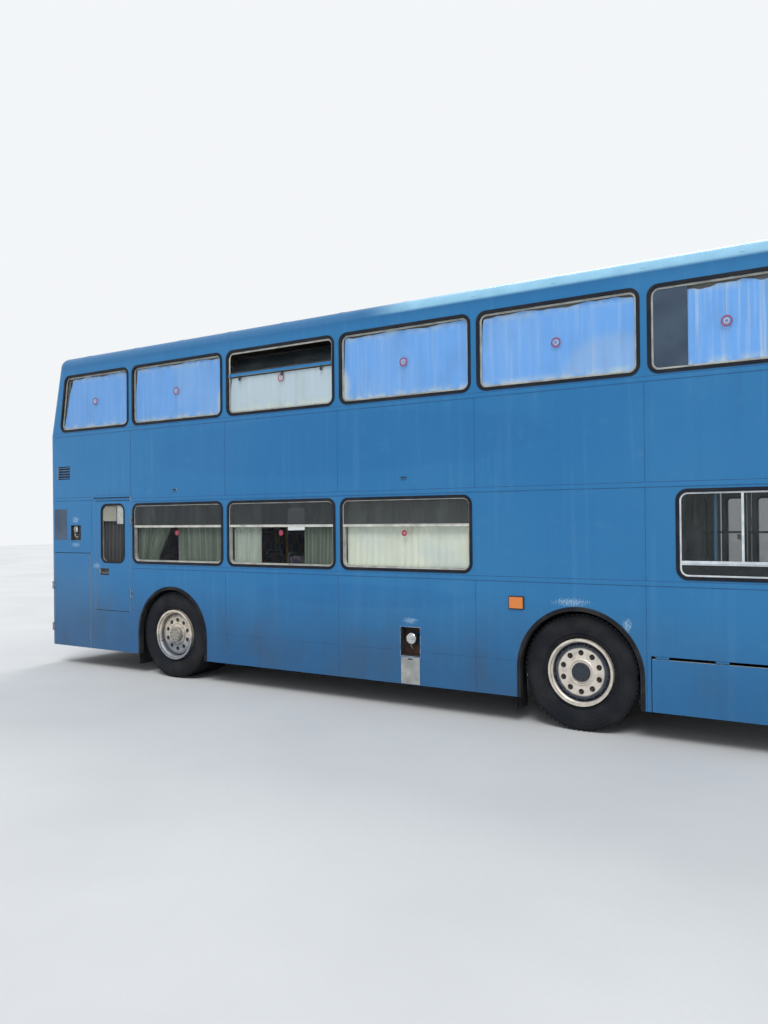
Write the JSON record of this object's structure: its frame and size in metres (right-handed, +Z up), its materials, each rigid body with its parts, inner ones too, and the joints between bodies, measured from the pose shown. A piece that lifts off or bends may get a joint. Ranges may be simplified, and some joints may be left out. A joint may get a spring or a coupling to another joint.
{
  "type": "double decker bus",
  "caption": "Full-size rear-engined double decker bus with steering front wheels, folding entrance doors, emergency door, flaps and bonnet on real hinges.",
  "frame": {"origin": "on the ground under the middle of the overall length and width", "axes": "+X forward, +Y to the nearside (left), +Z up"},
  "size_m": [9.5599, 2.97, 4.11],
  "materials": {
    "axle_steel": "oily",
    "bare_aluminium": "satin",
    "body_paint": "worn gloss paint",
    "chassis_paint": "dull underseal over paint",
    "curtain_cloth": "faded woven cloth",
    "dark_plastic": "moulded",
    "engine_iron": "oily",
    "floor_lino": "worn sheet flooring",
    "gasket_rubber": "matt",
    "lamp_amber": "lens",
    "lamp_clear": "fluted lens",
    "lamp_red": "lens",
    "liner_foil": "silvered insulating liner, streaked",
    "lining_board": "laminate",
    "seat_cloth": "woven moquette",
    "seat_vinyl": "vinyl",
    "tyre_rubber": "dusty",
    "wheel_metal": "weathered",
    "window_glass": "clear with film"
  },
  "bodies": {
    "bus_body": {"arch_rubbers": "gasket_rubber", "cab_partition": "lining_board", "chassis_frame": "chassis_paint", "curtains": "curtain_cloth", "dashboard": "dark_plastic", "driver_seat": "seat_vinyl", "engine_block": "engine_iron", "engine_bulkhead": "lining_board", "front_axle_beam": "axle_steel", "front_lower_panel": "body_paint", "front_upper_panel": "body_paint", "fuel_tank": "chassis_paint", "headlamps": "lamp_clear", "leaf_springs": "axle_steel", "lower_deck_glass": "window_glass", "lower_floor": "floor_lino", "lower_seats": "seat_cloth", "lower_side_left": "body_paint", "lower_side_right": "body_paint", "marker_lamps": "lamp_amber", "mirrors": "dark_plastic", "rear_axle": "axle_steel", "rear_lamps": "lamp_red", "rear_lower_panel": "body_paint", "rear_upper_panel": "body_paint", "roof": "body_paint", "staircase": "floor_lino", "steering_wheel": "dark_plastic", "upper_deck_glass": "window_glass", "upper_floor": "floor_lino", "upper_seats": "seat_cloth", "upper_side_left": "body_paint", "upper_side_right": "body_paint", "wheel_housings": "chassis_paint", "window_gaskets": "gasket_rubber", "window_liners": "liner_foil"},
    "steering_knuckle_left": {"steering_knuckle_left": "axle_steel"},
    "steering_knuckle_right": {"steering_knuckle_right": "axle_steel"},
    "front_wheel_left": {"front_wheel_left": "wheel_metal", "front_tyre_left": "tyre_rubber"},
    "front_wheel_right": {"front_wheel_right": "wheel_metal", "front_tyre_right": "tyre_rubber"},
    "rear_wheels_left": {"rear_wheels_left": "wheel_metal", "rear_tyres_left": "tyre_rubber"},
    "rear_wheels_right": {"rear_wheels_right": "wheel_metal", "rear_tyres_right": "tyre_rubber"},
    "emergency_door": {"emergency_door": "body_paint", "emergency_door_glass": "window_glass", "door_curtain": "curtain_cloth"},
    "engine_side_flap": {"engine_side_flap": "body_paint"},
    "skirt_flap": {"skirt_flap": "body_paint"},
    "engine_bonnet": {"engine_bonnet": "body_paint"},
    "entrance_rear_inner_leaf": {"entrance_rear_inner_leaf": "bare_aluminium", "entrance_rear_inner_glass": "window_glass"},
    "entrance_rear_outer_leaf": {"entrance_rear_outer_leaf": "bare_aluminium", "entrance_rear_outer_glass": "window_glass"},
    "entrance_front_inner_leaf": {"entrance_front_inner_leaf": "bare_aluminium", "entrance_front_inner_glass": "window_glass"},
    "entrance_front_outer_leaf": {"entrance_front_outer_leaf": "bare_aluminium", "entrance_front_outer_glass": "window_glass"}
  },
  "joints": [
    {"name": "steering_left", "type": "hinge", "parent": "bus_body", "child": "steering_knuckle_left", "pos_m": [2.45, 0.905, 0.505], "axis": [0, 0, 1], "range_deg": [-38, 38]},
    {"name": "front_wheel_left_spin", "type": "hinge", "parent": "steering_knuckle_left", "child": "front_wheel_left", "pos_m": [2.45, 1.085, 0.505], "axis": [0, 1, 0], "continuous": true},
    {"name": "rear_wheels_left_spin", "type": "hinge", "parent": "bus_body", "child": "rear_wheels_left", "pos_m": [-2.503, 0.93, 0.505], "axis": [0, 1, 0], "continuous": true},
    {"name": "steering_right", "type": "hinge", "parent": "bus_body", "child": "steering_knuckle_right", "pos_m": [2.45, -0.905, 0.505], "axis": [0, 0, 1], "range_deg": [-38, 38]},
    {"name": "front_wheel_right_spin", "type": "hinge", "parent": "steering_knuckle_right", "child": "front_wheel_right", "pos_m": [2.45, -1.085, 0.505], "axis": [0, 1, 0], "continuous": true},
    {"name": "rear_wheels_right_spin", "type": "hinge", "parent": "bus_body", "child": "rear_wheels_right", "pos_m": [-2.503, -0.93, 0.505], "axis": [0, 1, 0], "continuous": true},
    {"name": "emergency_door_hinge", "type": "hinge", "parent": "bus_body", "child": "emergency_door", "pos_m": [-3.205, -1.262, 1.42], "axis": [0, 0, 1], "range_deg": [0, 100]},
    {"name": "engine_side_flap_hinge", "type": "hinge", "parent": "bus_body", "child": "engine_side_flap", "pos_m": [-4.693, -1.262, 0.85], "axis": [0, 0, -1], "range_deg": [0, 110]},
    {"name": "skirt_flap_hinge", "type": "hinge", "parent": "bus_body", "child": "skirt_flap", "pos_m": [3.718, -1.239, 0.689], "axis": [-1, 0, 0], "range_deg": [0, 90]},
    {"name": "engine_bonnet_hinge", "type": "hinge", "parent": "bus_body", "child": "engine_bonnet", "pos_m": [-4.7581, 0, 1.487], "axis": [0, 1, 0], "range_deg": [0, 85]},
    {"name": "entrance_rear_inner_hinge", "type": "hinge", "parent": "bus_body", "child": "entrance_rear_inner_leaf", "pos_m": [3.162, 1.228, 1.222], "axis": [0, 0, -1], "range_deg": [0, 84]},
    {"name": "entrance_rear_fold", "type": "hinge", "parent": "entrance_rear_inner_leaf", "child": "entrance_rear_outer_leaf", "pos_m": [3.437, 1.251, 1.222], "axis": [0, 0, 1], "range_deg": [0, 168]},
    {"name": "entrance_front_inner_hinge", "type": "hinge", "parent": "bus_body", "child": "entrance_front_inner_leaf", "pos_m": [4.318, 1.228, 1.222], "axis": [0, 0, 1], "range_deg": [0, 84]},
    {"name": "entrance_front_fold", "type": "hinge", "parent": "entrance_front_inner_leaf", "child": "entrance_front_outer_leaf", "pos_m": [4.043, 1.251, 1.222], "axis": [0, 0, -1], "range_deg": [0, 168]}
  ],
  "couplings": [
    {"joint": "steering_right", "follows": "steering_left", "ratio": 1},
    {"joint": "entrance_rear_fold", "follows": "entrance_rear_inner_hinge", "ratio": 2},
    {"joint": "entrance_front_fold", "follows": "entrance_front_inner_hinge", "ratio": 2}
  ]
}
